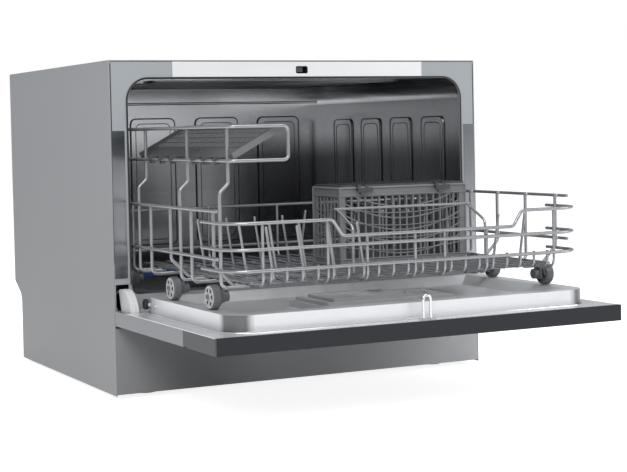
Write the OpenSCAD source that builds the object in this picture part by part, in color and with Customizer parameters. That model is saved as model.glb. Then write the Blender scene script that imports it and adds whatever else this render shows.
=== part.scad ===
// Countertop dishwasher for six place settings, door open and rack rolled out onto it.
// Millimetres, +Z up, the door faces -Y. The origin is under the middle of the bounding box, at the feet.

/* [Cabinet] */
// Width of the cabinet
body_w = 550; // [520:1:580]
// Depth of the cabinet behind its front frame
body_d = 465; // [450:1:490]
// Height from the foot pads to the top
body_h = 438; // [430:1:450]
// Thickness of the painted sheet
sheet = 1; // [0.8:0.1:1.2]
// Height of the foot pads below the base
foot_h = 4; // [3:0.5:6]
// Diameter of a foot pad
foot_d = 30; // [20:1:36]
// Top edge of the kick plate
kick_top = 92; // [88:1:94]
// How far the lower back steps in
back_step = 35; // [25:1:40]
// Height of the stepped-in lower back
back_step_h = 98; // [90:1:104]

/* [Tub] */
// Width of the frame's column on each side of the tub opening
column_w = 25; // [24:1:30]
// Height from the tub ceiling to the top of the cabinet
header_h = 25; // [25:1:33]
// Depth of the tub
tub_depth = 432; // [420:1:436]
// Thickness of the stainless sheet
tub_t = 1; // [0.8:0.1:1.2]
// Radius of the upper corners of the tub
tub_r = 28; // [20:1:32]
// Width of the wheel track on each side of the tub floor
track_w = 35; // [32:1:50]
// Depth of the sunk middle below the wheel tracks
trough_drop = 18; // [12:1:20]
// Diameter of the filter well
well_d = 120; // [100:1:130]
// Depth of the filter well below the tub floor
well_drop = 14; // [10:1:18]

/* [Door] */
// Length of the door from the front frame to its tip
door_len = 336; // [333:1:338]
// Thickness of the door
door_t = 20; // [18:1:22]
// Height of the door's inner face above the feet when it is open
rim_z = 116; // [114:1:118]
// Length of the control panel at the door's tip
panel_len = 100; // [85:1:110]
// Thickness of the dark edge trim at the tip
edge_t = 4; // [3:0.5:6]
// Height of the stainless liner above the door's rim
liner_rise = 19.7; // [18:0.1:21]
// Gap from the liner to the line of the tub wall
liner_gap = 3; // [2:1:6]
// Front end of the liner, ahead of the front frame
liner_front = 309; // [300:1:310]
// Back end of the liner, ahead of the front frame
liner_back = 28; // [26:1:34]
// Corner radius of the liner
liner_r = 30; // [20:1:34]
// Width of the flat ledge round the liner
liner_ledge = 22; // [20:1:26]
// Depth of the liner's sunk middle
liner_dish = 11; // [8:1:13]
// Diameter of the hinge pins
hinge_pin_d = 6; // [5:0.5:7]
// Radial running clearance of pins and axles
fit_gap = 0.05; // [0.03:0.01:0.08]

/* [Rack] */
// How far the rack is rolled out
rack_out = 303; // [0:1:303]
// Depth of the rack
rack_depth = 396; // [380:1:400]
// Gap from the rails' centre lines to the tub wall
rack_gap = 7; // [6:0.5:9]
// Diameter of the rails and frame wires
rail_d = 4.2; // [3.6:0.1:4.6]
// Diameter of the tines and floor wires
tine_d = 3.4; // [3:0.1:4]
// Centre height of the floor wires
floor_z = 168; // [166:1:172]
// Centre height of the top front rail
front_top_z = 238.5; // [232:0.5:242]
// Drop of the top front rail in the middle
dip_drop = 19.5; // [14:0.5:24]
// Centre height of the middle front rail
front_mid_z = 208.5; // [204:0.5:212]
// Centre height of the low front rail
front_low_z = 184; // [181:0.5:188]
// Centre height of the upper side rail
side_top_z = 252; // [246:0.5:258]
// Centre height of the lower side rail
side_low_z = 197; // [192:0.5:200]
// Spacing of the side wires
side_pitch = 68; // [60:1:72]
// Bend radius of the frame wires
bend_r = 12; // [10:1:14]
// Corner radius of the front rails, seen from above
corner_r = 36; // [28:1:40]
// Outside diameter of the rack wheels
wheel_d = 29; // [26:0.5:30]
// Width of a rack wheel
wheel_w = 13; // [11:0.5:14]
// Distance between the first two wheels of a side
wheel_pitch = 125; // [110:1:130]
// Distance between the last two wheels of a side
wheel_pitch_back = 164; // [160:1:168]
// Diameter of the wheel axles
axle_d = 5; // [4:0.5:6]

/* [Cup shelf] */
// Centre height of the guard's top rail
guard_top_z = 348.5; // [340:0.5:352]
// Centre height of the guard's lower rail
guard_low_z = 309.5; // [300:0.5:316]
// Inward jog of the guard uprights
guard_jog = 11; // [8:1:14]
// Width of the cup shelf
shelf_w = 78; // [70:1:95]
// Length of the cup shelf
shelf_len = 300; // [240:1:320]
// Upward tilt of the cup shelf
shelf_tilt = 28; // [10:1:32]

/* [Cutlery basket] */
// Width of the basket
basket_w = 184; // [150:1:190]
// Depth of the basket
basket_d = 76; // [60:1:80]
// Height of the basket
basket_h = 100; // [85:1:104]
// Wall thickness of the basket
basket_t = 2; // [1.5:0.1:2.5]

/* [Hidden] */
$fn = 48;
eps = 0.01;
// Seam between a straight length of wire and a slanted bend
hairline = 0.02;

// Smallest gap between pieces of different bodies
clear = 0.3;
// The front frame stands half the overall depth behind the origin
front_y = (door_len - body_d) / 2;

tub_w = body_w - 2 * column_w;
tub_top = body_h - header_h;
trough_w = tub_w - 2 * track_w;
rib_step = (tub_w - 60) / 4;

// Height of the surface that the rack wheels roll on, level through liner and tub
track_z = rim_z + liner_rise;
trough_z = track_z - trough_drop;
well_z = trough_z - well_drop;
// The spray arm turns on the middle of the tub floor; the filter well lies behind it
arm_y = 217;
arm_reach = 188;
riser_d = 46;
well_y = arm_y + 96;
filter_hole_d = 62.6;
heater_loop = 74;
heater_d = 7;
heater_ends = [-55, 235];
float_x = 178;
float_y = 70;
port_z = 62;
inlet_x = body_w / 2 - 105;
drain_x = 145 - body_w / 2;
cable_x = 85 - body_w / 2;
frame_t = 1.5;
frame_bottom = kick_top + 6;
strip_w = body_w - 174;
strip_h = 20;
slot_w = 20;
slot_h = 12;

// Door hinge: closed, the inner face lies door_gap off the frame and the tip tip_gap under the top
door_gap = 1;
tip_gap = 2;
hinge_z = (body_h - tip_gap + rim_z + door_gap - door_len) / 2;
hinge_y = hinge_z - rim_z - door_gap;
arm_x = body_w / 2 - 18;
arm_t = 11;
arm_r = 34;
// Room that the door leaves round each hinge arm
arm_room = 44;
spring_z = 60;
bracket_x = arm_x + arm_t + 1.5;
bracket_t = 3;
striker_y = -(door_len - 11);
striker_top = track_z + 9;
latch_z = hinge_z - striker_y + hinge_y;
button_d = 14;
button_x = [75 - body_w / 2, 115 - body_w / 2, body_w / 2 - 75];
button_y = -(door_len - 34);
board_z = rim_z - 10;

liner_hw = tub_w / 2 - liner_gap;

// Dispenser corner positions on the liner, and its lid
disp_x0 = -104;
disp_x1 = 84;
disp_y0 = -262;
disp_y1 = -160;
disp_z = track_z - liner_dish + 0.05;
disp_top = disp_z + 11;
lid_z = disp_top + clear;
lid_t = 3;
lid_x0 = disp_x0 + 18.5;
lid_x1 = disp_x0 + 97.5;
lid_y0 = disp_y0 + 14.5;
lid_y1 = disp_y1 - 22.5;
cap_x = disp_x1 - 36;
cap_y = (disp_y0 + disp_y1) / 2;

// Rack
rack_y = -rack_out;
rack_hw = tub_w / 2 - rack_gap;
side_x = rack_hw - (rail_d + rail_d) / 2 - 0.05;
floor_hw = rack_hw - 29;
cross_end = floor_hw - 18;
outer_x = rack_hw - 43;
wheel_x = rack_hw - 11;
wheel_z = track_z + clear + wheel_d / 2;
wheel_inset = 73;
dip_left = -106;
dip_right = 144;
dip_run = 13;
floor_pitch = 20;
floor_edge = (floor((floor_hw - 14) / floor_pitch) - 0.5) * floor_pitch;
cross_z = floor_z - (tine_d + rail_d) / 2 - hairline;
cross_first = 55;
cross_last = cross_first + floor((rack_depth - 50 - cross_first) / side_pitch) * side_pitch;
cross_y = [for (y = [cross_first:side_pitch:cross_last]) y];
rail_arm = 81;
foot_front = cross_first - rail_d / 2 - 0.1;
foot_back = cross_last + rail_d / 2 + 0.1;
upright_y = (rail_d + tine_d) / 2 + 0.05;
wheel_ys = [wheel_inset, wheel_inset + wheel_pitch, wheel_inset + wheel_pitch + wheel_pitch_back];
clip_x = wheel_x - wheel_w / 2 - clear;
guard_x = side_x - guard_jog;
guard_front = 15;
guard_return = 72;
guard_back = rack_depth - 12;
shelf_t = 3;
tine_h = 62;
// Rows of leaning prongs: side they are set from, first floor wire from that side, count, y, lean
tine_rows = [
  [-1, 1, 4, 40, -9], [-1, 1, 4, 118, -9], [-1, 1, 4, 250, -9], [1, 2, 2, 66, 9], [1, 2, 2, 250, 9],
  [1, 9, 4, 262, 9], [1, 9, 4, 340, 9]
];
guard_y = [35, 158, 302];
shelf_front = guard_front + rail_d + 3;
shelf_root = 6;
shelf_notch = 24;
shelf_clips = [56, 90, 124, 196, 232, 268];

// Basket place inside the rack
basket_x = 58;
basket_y = 131;
basket_z = floor_z + tine_d / 2 + clear;
rail_y = 51;
rail_z = 225;
rail_bar_z = 244;
rail_bar_y = 91;
rail_left = -59;
rail_right = 129;
basket_hinges = [28, 142];

paint = [0.60, 0.61, 0.62];
plinth = [0.39, 0.39, 0.41];
steel = [0.78, 0.79, 0.80];
charcoal = [0.17, 0.18, 0.20];
black = [0.08, 0.08, 0.09];
wire_grey = [0.58, 0.59, 0.60];
grey_plastic = [0.50, 0.51, 0.52];
white_plastic = [0.86, 0.86, 0.86];
blue_plastic = [0.12, 0.28, 0.66];

// ---- shared shapes ----

module at_front() translate([0, front_y, 0]) children();
module at_rack() translate([0, front_y + rack_y, 0]) children();
module both_sides() {
  children();
  mirror([1, 0, 0]) children();
}

function unit(v) = v / norm(v);
function turn_at(a, b, c) = acos(max(-1, min(1, unit(b - a) * unit(c - b))));
function trim_at(a, b, c, r) = r * tan(turn_at(a, b, c) / 2);

// Straight round bar from a to b
module rod(a, b, d) {
  v = b - a;
  translate(a) rotate([0, acos(v[2] / norm(v)), atan2(v[1], v[0])])
    cylinder(d = d, h = norm(v), $fn = 16);
}

// Bend of radius r that joins the leg a-b to the leg b-c
module elbow(a, b, c, r, d) {
  u = unit(b - a);
  n = unit(cross(u, unit(c - b)));
  out = -cross(n, u);
  centre = b - u * trim_at(a, b, c, r) - out * r;
  multmatrix([
    [out[0], u[0], n[0], centre[0]],
    [out[1], u[1], n[1], centre[1]],
    [out[2], u[2], n[2], centre[2]],
    [0, 0, 0, 1]
  ])
    rotate_extrude(angle = turn_at(a, b, c), $fn = 24) translate([r, 0]) circle(d = d, $fn = 16);
}

// Wire through the points, bent at each one between the ends; radius is one value or one for each bend.
// seam is the hairline between a straight length and a bend that is not square.
module wire(points, radius, d, seam = 0) {
  last = len(points) - 1;
  r = [for (i = [0:last]) is_list(radius) ? radius[max(0, min(i - 1, last - 2))] : radius];
  for (i = [0:last - 1]) {
    u = unit(points[i + 1] - points[i]);
    a = i == 0 ? points[0] : points[i] + u * (trim_at(points[i - 1], points[i], points[i + 1], r[i]) + seam);
    b = i == last - 1 ? points[last]
      : points[i + 1] - u * (trim_at(points[i], points[i + 1], points[i + 2], r[i + 1]) + seam);
    rod(a, b, d);
  }
  if (last > 1)
    for (i = [1:last - 1]) elbow(points[i - 1], points[i], points[i + 1], r[i], d);
}

// Rectangle from (x0, y0) to (x1, y1) with one radius at the low corners and one at the high ones
module soft_rect(x0, y0, x1, y1, r_low, r_high) {
  translate([x0, y0 + r_low]) square([x1 - x0, y1 - y0 - r_low - r_high]);
  translate([x0 + r_low, y0]) square([x1 - x0 - 2 * r_low, r_low + eps]);
  translate([x0 + r_high, y1 - r_high - eps]) square([x1 - x0 - 2 * r_high, r_high + eps]);
  for (x = [x0 + r_low, x1 - r_low]) translate([x, y0 + r_low]) circle(r = r_low);
  for (x = [x0 + r_high, x1 - r_high]) translate([x, y1 - r_high]) circle(r = r_high);
}

// Box with rounded vertical edges between two corners
module soft_box(lo, hi, r) {
  translate([0, 0, lo[2]]) linear_extrude(hi[2] - lo[2]) soft_rect(lo[0], lo[1], hi[0], hi[1], r, r);
}

module box(lo, hi) translate(lo) cube(hi - lo);

// Extrudes a front view (x, z) from y0 to y1
module front_extrude(y0, y1) translate([0, y1, 0]) rotate([90, 0, 0]) linear_extrude(y1 - y0) children();
// Extrudes a side view (y, z) from x0 to x1
module side_extrude(x0, x1)
  translate([x0, 0, 0]) rotate([90, 0, 90]) linear_extrude(x1 - x0) children();
module bar_x(x0, x1, y, z, d) translate([x0, y, z]) rotate([0, 90, 0]) cylinder(d = d, h = x1 - x0);
module bar_y(y0, y1, x, z, d) translate([x, y1, z]) rotate([90, 0, 0]) cylinder(d = d, h = y1 - y0);

// ---- cabinet ----

// Sheet folded over the top and both sides, with the step low in the back
module outer_wrap() color(paint) at_front() difference() {
  side_extrude(-body_w / 2, body_w / 2) polygon([
    [0, foot_h], [body_d - back_step, foot_h], [body_d - back_step, back_step_h - 8],
    [body_d - back_step + 4, back_step_h + 4], [body_d, back_step_h + 22], [body_d, body_h], [0, body_h]
  ]);
  side_extrude(-body_w / 2 + sheet, body_w / 2 - sheet)
    polygon([[-1, 0], [body_d + 1, 0], [body_d + 1, body_h - sheet], [-1, body_h - sheet]]);
}

module frame_opening(grow) {
  soft_rect(-tub_w / 2 - grow, track_z - grow, tub_w / 2 + grow, tub_top + grow, 10, tub_r + grow);
}

module front_frame() color(paint) at_front() difference() {
  front_extrude(0, frame_t)
    translate([-body_w / 2 + sheet + 0.1, frame_bottom])
      square([body_w - 2 * sheet - 0.2, body_h - sheet - 0.1 - frame_bottom]);
  front_extrude(-1, frame_t + 1) frame_opening(tub_t);
  both_sides()
    box([arm_x - 2, -1, frame_bottom - 1], [bracket_x + bracket_t + clear, frame_t + 1, hinge_z + arm_r + 6]);
  box([-slot_w / 2, -1, latch_z - slot_h / 2], [slot_w / 2, frame_t + 1, latch_z + slot_h / 2]);
}

module top_trim() color(steel) at_front() difference() {
  box([-strip_w / 2, -0.8, body_h - 2 - strip_h], [strip_w / 2, 0, body_h - 2]);
  front_extrude(-1, 1)
    soft_rect(-slot_w / 2 + 1, latch_z - slot_h / 2 + 1, slot_w / 2 - 1, latch_z + slot_h / 2 - 1, 2, 2);
}

module column_strips() color(steel) at_front() both_sides()
  box([tub_w / 2 + 6, -0.6, hinge_z + arm_r + 14], [body_w / 2 - 1.5, 0, hinge_z + arm_r + 156]);

module kick_plate() color(plinth) at_front() difference() {
  union() {
    box([-body_w / 2 + sheet + 0.1, 0, foot_h + 2], [body_w / 2 - sheet - 0.1, 1.5, kick_top]);
    box([-body_w / 2 + sheet + 0.1, 0, kick_top - 1.5], [body_w / 2 - sheet - 0.1, 18, kick_top]);
    box([-body_w / 2 + sheet + 0.1, 0, foot_h + 2], [body_w / 2 - sheet - 0.1, 12, foot_h + 3.5]);
  }
  both_sides() box([bracket_x - clear, 17, kick_top - 3], [body_w / 2, 20, kick_top + 1]);
}

module base_pan() color(plinth) at_front() {
  pan_x = body_w / 2 - sheet - clear;
  pan_back = body_d - back_step - 2;
  difference() {
    box([-pan_x, 13, foot_h], [pan_x, pan_back, foot_h + 26]);
    box([-pan_x + 2.7, 16, foot_h + 2], [pan_x - 2.7, pan_back - 3, foot_h + 27]);
    both_sides() for (y = [45, body_d - back_step - 45])
      translate([body_w / 2 - 55, y, foot_h - 1]) cylinder(d = 6.2, h = 4);
  }
  for (x = [-60, 60], y = [well_y - 40, well_y + 40])
    translate([x, y, foot_h + 2]) cylinder(d = 10, h = 30);
  for (x = [-200:80:200])
    box([x - 1, 17, foot_h + 2], [x + 1, 60, foot_h + 14]);
}

module feet() color(black) at_front() both_sides() for (y = [45, body_d - back_step - 45])
  translate([body_w / 2 - 55, y, 0]) {
    cylinder(d = foot_d, h = foot_h - 0.05);
    cylinder(d = 6, h = foot_h + 8);
  }

module rear_panel() color(paint) at_front() difference() {
  panel_x = body_w / 2 - sheet - 0.1;
  union() {
    box([-panel_x, body_d - 2, back_step_h + 24], [panel_x, body_d - 1, body_h - sheet - 0.1]);
    side_extrude(-panel_x, panel_x) polygon([
      [body_d - 2, back_step_h + 25], [body_d - 1, back_step_h + 24],
      [body_d - back_step + 3, back_step_h + 5], [body_d - back_step - 1, back_step_h - 8],
      [body_d - back_step - 1, foot_h + 28],
      [body_d - back_step - 2, foot_h + 28], [body_d - back_step - 2, back_step_h - 7.5],
      [body_d - back_step + 2, back_step_h + 6]
    ]);
  }
  for (port = [[cable_x, 30], [drain_x, 30], [inlet_x, 16.2]])
    bar_y(body_d - back_step - 10, body_d - back_step + 10, port[0], port_z, port[1]);
  for (x = [-150:12:150], z = [180, 205, 230])
    translate([x - 1.5, body_d - 5, z]) cube([3, 10, 18]);
}

// ---- tub ----

module trough_box(t) {
  x = trough_w / 2 + t;
  box([-x, 26 - t, trough_z - t], [x, tub_depth - 24 + t, track_z + tub_t + eps]);
}

module rib_pad(w, h) soft_rect(-w / 2, -h / 2, w / 2, h / 2, 9, 9);

module tub() color(steel) at_front() {
  difference() {
    union() {
      front_extrude(frame_t + 0.05, tub_depth + tub_t) frame_opening(tub_t);
      trough_box(tub_t);
      translate([0, well_y, well_z - tub_t]) cylinder(d = well_d + 2 * tub_t, h = well_drop + 2);
      front_extrude(frame_t + 0.05, frame_t + 1.05)
        translate([-tub_w / 2 - 9, track_z - 12]) square([tub_w + 18, tub_top - track_z + 17]);
    }
    front_extrude(-1, tub_depth) frame_opening(0);
    trough_box(0);
    translate([0, well_y, well_z]) cylinder(d = well_d, h = well_drop + 4);
    translate([0, well_y, well_z - 5]) cylinder(d = 74, h = 10);
    for (a = heater_ends) translate([0, well_y, trough_z - 3]) rotate(a) translate([heater_loop, 0, 0])
      cylinder(d = heater_d + 0.2, h = 5);
    both_sides() box([arm_x - 2, -1, 0], [body_w, 20, hinge_z + arm_r + 6]);
  }
  both_sides() for (y = [75:95:tub_depth - 60])
    side_extrude(tub_w / 2 - 1.5, tub_w / 2 + tub_t / 2)
      translate([y, track_z + 128]) rib_pad(62, 190);
  for (i = [0:3]) front_extrude(tub_depth - 1.5, tub_depth + tub_t / 2)
    translate([(i - 1.5) * rib_step, track_z + 130]) rib_pad(74, 200);
  for (y = [90:90:tub_depth - 60])
    translate([0, y, tub_top - 1.5]) linear_extrude(1.5 + tub_t / 2) rib_pad(tub_w - 120, 42);
}

module door_gasket() color(black) at_front() difference() {
  front_extrude(-0.9, 0) difference() {
    frame_opening(2.8);
    frame_opening(1.3);
  }
  box([-tub_w, -5, 0], [tub_w, 5, track_z + 12]);
}

module latch_catch() color(black) at_front() difference() {
  box([-14, frame_t + 1.1, latch_z - 8], [14, 34, latch_z + 8]);
  box([-8, 0, latch_z - 5.2], [8, 30, latch_z + 5]);
}

// ---- wash system ----

module filter_plate() color(steel) at_front() difference() {
  translate([0, well_y, trough_z + 0.05]) cylinder(d = well_d + 16, h = 1.2);
  translate([0, well_y, trough_z - 1]) cylinder(d = filter_hole_d, h = 4);
  for (ring = [0:2], a = [0:15:345])
    translate([0, well_y, trough_z - 1]) rotate([0, 0, a + 5 * ring]) translate([38.5 + 7.5 * ring, 0, 0])
      cylinder(d = 3, h = 4, $fn = 16);
}

module filter_cup() color(grey_plastic) at_front() translate([0, well_y, 0]) {
  difference() {
    translate([0, 0, well_z - 26]) cylinder(d = 60, h = 26 + well_drop + 14);
    translate([0, 0, well_z - 24]) cylinder(d = 56, h = 60);
    for (a = [0:30:330], z = [well_z - 20:10:trough_z - 8])
      rotate([0, 0, a]) translate([20, -4, z]) cube([20, 8, 6]);
  }
  translate([0, 0, trough_z + 1.25 + clear]) difference() {
    cylinder(d = 72, h = 2.2);
    translate([0, 0, -1]) cylinder(d = 58, h = 5);
  }
  translate([0, 0, well_z - 25]) difference() {
    cylinder(d = 34, h = 52);
    translate([0, 0, 2]) cylinder(d = 31, h = 52);
  }
  for (a = [0, 90]) rotate([0, 0, a]) difference() {
    box([-28.5, -1.5, trough_z + 4], [28.5, 1.5, trough_z + 13]);
    box([-15, -2, trough_z + 3], [15, 2, trough_z + 14]);
  }
}

module sump() color(grey_plastic) at_front() translate([0, well_y, 0]) {
  difference() {
    union() {
      translate([0, 0, well_z - 44]) cylinder(d = 96, h = 43 - tub_t);
      translate([0, 0, well_z - tub_t - 3.1]) cylinder(d = well_d, h = 3);
      rotate([0, 90, 0]) translate([-well_z + 26, 0, 0]) cylinder(d = 26, h = 62);
      rotate([0, -90, 0]) translate([well_z - 30, 0, 0]) cylinder(d = 22, h = 60);
    }
    translate([0, 0, well_z - 41]) cylinder(d = 88, h = 60);
  }
}

module circulation_pump() color(charcoal) at_front() translate([0, well_y, well_z - 26]) {
  difference() {
    bar_x(62.3, 84, 0, 0, 62);
    bar_x(60, 81, 0, 0, 24);
  }
  bar_x(84, 150, 0, 0, 50);
  bar_x(150, 162, 0, 0, 36);
  box([96, -18, -well_z + 26 + foot_h + 2.1], [140, 18, -20]);
}

module drain_pump() color(charcoal) at_front() translate([0, well_y, well_z - 30]) {
  mirror([1, 0, 0]) {
    bar_x(60.3, 78, 0, 0, 46);
    box([78, -18, -18], [112, 18, 18]);
    box([84, -10, -well_z + 30 + foot_h + 2.1], [104, 10, -17]);
  }
  mirror([1, 0, 0]) bar_y(20, 46, 68, 0, 16);
}

// Heating loop with its two ends through the tub floor
module heater() color(steel) at_front() translate([0, well_y, trough_z + 8]) {
  rotate([0, 0, heater_ends[0]]) rotate_extrude(angle = heater_ends[1] - heater_ends[0], $fn = 64)
    translate([heater_loop, 0]) circle(d = heater_d, $fn = 16);
  for (a = heater_ends) rotate([0, 0, a]) translate([heater_loop, 0, 0]) {
    translate([0, 0, -trough_drop - 4]) cylinder(d = heater_d - 0.1, h = trough_drop + 4, $fn = 16);
    translate([0, 0, -13.2]) cylinder(d = 14, h = 4, $fn = 6);
  }
}

module arm_riser() color(grey_plastic) at_front() translate([0, arm_y, trough_z]) {
  difference() {
    union() {
      translate([0, 0, 0.05]) cylinder(d = riser_d, h = 4);
      translate([0, 0, 4]) cylinder(d = 24, h = 14);
      translate([0, 0, 18]) cylinder(d = 15.9, h = 13);
    }
    translate([0, 0, -1]) cylinder(d = 11, h = 40);
  }
  translate([0, 0, 31]) difference() {
    cylinder(d = 24, h = 3);
    translate([0, 0, -1]) cylinder(d = 8, h = 6);
  }
}

module spray_arm() color(blue_plastic) at_front() translate([0, arm_y, trough_z + 18.4]) difference() {
  union() {
    cylinder(d = 34, h = 12);
    hull() for (x = [-1, 1]) translate([x * (arm_reach - 13), 0, 1]) cylinder(d = 26, h = 6, $fn = 32);
    hull() for (x = [-1, 1]) translate([x * 112, 0, 3]) cylinder(d = 40, h = 6, $fn = 32);
  }
  translate([0, 0, -1]) cylinder(d = 16 + 2 * fit_gap, h = 20);
  for (s = [-1, 1], x = [45:24:175]) translate([s * x, s * 4, 5.5]) cylinder(d = 3, h = 6, $fn = 16);
}

module float_tube() color(grey_plastic) at_front() translate([float_x, float_y, 0]) difference() {
  translate([0, 0, trough_z + 0.05]) cylinder(d = 14, h = 12);
  translate([0, 0, trough_z - 1]) cylinder(d = 8, h = 20);
}

module float_cap() color(grey_plastic) at_front() translate([float_x, float_y, trough_z]) {
  difference() {
    translate([0, 0, 4]) cylinder(d = 26, h = 17);
    translate([0, 0, 3]) cylinder(d = 14.6, h = 15);
  }
  translate([0, 0, 2]) cylinder(d = 7.2, h = 17);
}

module inlet_valve() color(white_plastic) at_front() translate([inlet_x, body_d - back_step, port_z]) {
  translate([0, -32, 0]) rotate([-90, 0, 0]) cylinder(d = 16, h = 34);
  bar_y(-0.95, 0.5, 0, 0, 34);
  difference() {
    bar_y(0, 20, 0, 0, 26.4);
    bar_y(1, 21, 0, 0, 17);
  }
  box([-20, -50, -16], [20, -10, 18]);
}

module drain_spigot() color(grey_plastic) at_front()
  translate([drain_x, body_d - back_step, port_z]) difference() {
    union() {
      bar_y(-24, 0, 0, 0, 17);
      bar_y(-0.95, 1.6, 0, 0, 38);
      bar_y(1, 26, 0, 0, 18);
    }
    bar_y(-30, 30, 0, 0, 14);
  }

module cable_gland() color(black) at_front() translate([cable_x, body_d - back_step, port_z]) difference() {
  union() {
    bar_y(-8, 10, 0, 0, 22);
    bar_y(-0.9, 3, 0, 0, 36);
  }
  bar_y(-10, 12, 0, 0, 8);
}

module water_box() color(white_plastic) at_front() {
  x0 = -body_w / 2 + sheet + 1;
  x1 = -tub_w / 2 - tub_t - 2;
  z1 = tub_top - 23;
  side_extrude(x0, x1) soft_rect(70, 150, tub_depth - 102, z1, 12, 12);
  for (y = [110:50:290]) box([x1 - 1, y, 160], [x1 + 1.5, y + 3, z1 - 10]);
}

module hinge_brackets() color(steel) at_front() both_sides() {
  side_extrude(bracket_x, bracket_x + bracket_t) difference() {
    polygon([
      [hinge_y - 7, hinge_z - 7], [hinge_y + 7, hinge_z - 8], [18, hinge_z - 8], [18, 40], [70, 40],
      [70, hinge_z + 22], [22, hinge_z + 22], [4, hinge_z + 7], [hinge_y - 7, hinge_z + 7]
    ]);
    translate([58, 60]) circle(d = 5);
  }
  bar_x(arm_x - 2, bracket_x + eps, hinge_y, hinge_z, hinge_pin_d);
  bar_x(arm_x - 4, arm_x - 1, hinge_y, hinge_z, hinge_pin_d + 4);
}

module door_springs() color(steel) at_front() both_sides() {
  x = bracket_x - 7;
  coils = 13;
  coil_pitch = 3.4;
  first = 138;
  last = first + coils * coil_pitch;
  for (y = [[72, first - 1.8], [last + 1.8, 256]]) rod([x, y[0], spring_z], [x, y[1], spring_z], 3);
  for (y = [first - 3.3, last + 1.8]) bar_y(y, y + 1.5, x, spring_z, 13);
  translate([x, first, spring_z]) rotate([-90, 0, 0]) rotate_extrude($fn = 32)
    for (i = [0:coils]) translate([5.5, i * coil_pitch]) circle(d = 3.2, $fn = 16);
  box([x - 6, 248, foot_h + 2.1], [x + 4, 258, 70]);
  bar_x(x - 1, bracket_x + eps, 70, spring_z, 5);
}

// ---- door, drawn open ----

module door_panel() color(paint) at_front() {
  z0 = rim_z - door_t;
  y1 = -1.5;
  y0 = -(door_len - panel_len) + 0.2;
  difference() {
    box([-body_w / 2, y0, z0], [body_w / 2, y1, rim_z - sheet - 0.1]);
    box([-body_w / 2 + sheet, y0 + sheet, z0 + sheet], [body_w / 2 - sheet, y1 - sheet, rim_z]);
    both_sides() box([arm_x - 4.5, -arm_room, z0 - 1], [body_w / 2 - sheet, 5, rim_z + 1]);
  }
}

module button_well(x) translate([x, button_y, rim_z - door_t - 1]) cylinder(d = button_d + 2 * clear, h = 8);

module control_panel() color(grey_plastic) at_front() {
  z0 = rim_z - door_t;
  y0 = -(door_len - edge_t) + 0.1;
  y1 = -(door_len - panel_len);
  difference() {
    box([-body_w / 2, y0, z0], [body_w / 2, y1, rim_z - sheet - 0.1]);
    box([-body_w / 2 + 2.5, y0 + 2.5, z0 + 3], [body_w / 2 - 2.5, y1 + 10, rim_z]);
    box([-60, y1 - 34, z0 - 1], [60, y1 - 8, z0 + 12]);
    box([60, y0 + 14, z0 - 1], [150, y0 + 44, z0 + 1.5]);
    for (x = button_x) button_well(x);
    box([-body_w / 2 - 1, y1 - 12, z0 - 1], [body_w / 2 + 1, y1 + 1, z0 + 2]);
  }
  for (x = [-203, -80, 80, 203], y = [-(door_len - 24), -(door_len - 52)])
    translate([x, y, z0 + 2.5]) cylinder(d = 6, h = board_z - 0.1 - z0 - 2.5);
  difference() {
    box([-62, y1 - 36, z0 + 2], [62, y1 - 6, z0 + 14]);
    box([-60, y1 - 34, z0 - 1], [60, y1 - 8, z0 + 12]);
  }
}

module door_edge_trim() color(charcoal) at_front()
  box([-body_w / 2, -door_len, rim_z - door_t], [body_w / 2, -(door_len - edge_t), rim_z]);

module liner_outline(inset) soft_rect(
  -liner_hw + inset, -liner_front + inset, liner_hw - inset, -liner_back - inset,
  liner_r - inset, liner_r - inset
);

module liner_dish_shape(grow, drop) {
  x = liner_hw - liner_ledge + grow;
  y0 = -liner_front + liner_ledge - grow;
  y1 = -liner_back - liner_ledge + grow;
  top = track_z + 1;
  z = track_z - liner_dish - drop;
  slope = liner_dish * 1.7;
  intersection() {
    front_extrude(-door_len, 0) polygon([[-x - 2, top], [x + 2, top], [x - slope, z], [-x + slope, z]]);
    side_extrude(-body_w / 2, body_w / 2)
      polygon([[y0 - 2, top], [y0 + slope, z], [y1 - slope, z], [y1 + 2, top]]);
  }
}

module door_liner() color(steel) at_front() difference() {
  union() {
    translate([0, 0, rim_z - sheet]) linear_extrude(liner_rise + sheet) liner_outline(0);
    box([-body_w / 2 + 0.5, -(door_len - edge_t) + 0.1, rim_z - sheet], [body_w / 2 - 0.5, -4, rim_z]);
  }
  difference() {
    translate([0, 0, rim_z - sheet - 1]) linear_extrude(liner_rise + 1) liner_outline(sheet);
    liner_dish_shape(sheet, sheet);
  }
  liner_dish_shape(0, 0);
  both_sides() box([arm_x - 4.5, -arm_room, rim_z - 5], [body_w, 1, rim_z + 1]);
}

module dispenser_body() color(grey_plastic) at_front() {
  difference() {
    union() {
      soft_box([disp_x0, disp_y0, disp_z], [disp_x1, disp_y1, disp_z + 7], 3);
      box([disp_x0 + 8, disp_y0 + 6, disp_z + 6], [disp_x1 - 6, disp_y1 - 6, disp_top]);
    }
    box([lid_x0 + 6, lid_y0 + 4, disp_z + 2], [lid_x1 - 4, lid_y1 - 4, disp_z + 12]);
    translate([cap_x, cap_y, disp_z + 3]) cylinder(d = 34, h = 12);
  }
  // Guides over the long edges of the sliding lid
  guide_z = lid_z + lid_t + clear;
  guide_x = lid_x1 + 24;
  for (y = [[lid_y0 - 3, lid_y0 - clear, lid_y0 + 1.2], [lid_y1 + clear, lid_y1 + 3, lid_y1 - 1.2]]) {
    box([lid_x0, y[0], disp_top - eps], [guide_x, y[1], guide_z + 1]);
    box([lid_x0, min(y[0], y[2]), guide_z], [guide_x, max(y[1], y[2]), guide_z + 1]);
  }
}

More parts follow.
